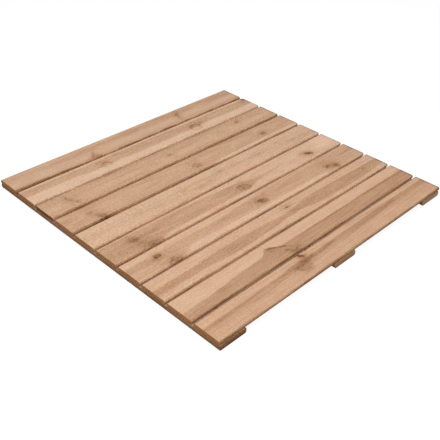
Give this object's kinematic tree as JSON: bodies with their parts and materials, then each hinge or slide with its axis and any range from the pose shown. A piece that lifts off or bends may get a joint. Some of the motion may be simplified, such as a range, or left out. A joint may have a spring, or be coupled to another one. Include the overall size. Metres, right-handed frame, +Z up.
{
  "type": "wooden deck tile",
  "caption": "Square wooden deck tile of planed softwood slats with rounded edges and drain gaps, fixed from below to cross battens.",
  "frame": {"origin": "centre of the tile's footprint, on the ground that the battens lie on", "axes": "+X along the slats, +Y across the slats, +Z up to the walking face"},
  "size_m": [1, 1.0002, 0.031],
  "materials": {
    "slat_wood": "planed and stained light brown, dry and matt",
    "batten_wood": "planed and stained brown, matt",
    "staple_wire": "dull zinc coat"
  },
  "bodies": {
    "root": {"slat_01": "slat_wood", "slat_02": "slat_wood", "slat_03": "slat_wood", "slat_04": "slat_wood", "slat_05": "slat_wood", "slat_06": "slat_wood", "slat_07": "slat_wood", "slat_08": "slat_wood", "slat_09": "slat_wood", "slat_10": "slat_wood", "batten_left": "batten_wood", "batten_middle": "batten_wood", "batten_right": "batten_wood", "staples": "staple_wire"}
  },
  "joints": []
}
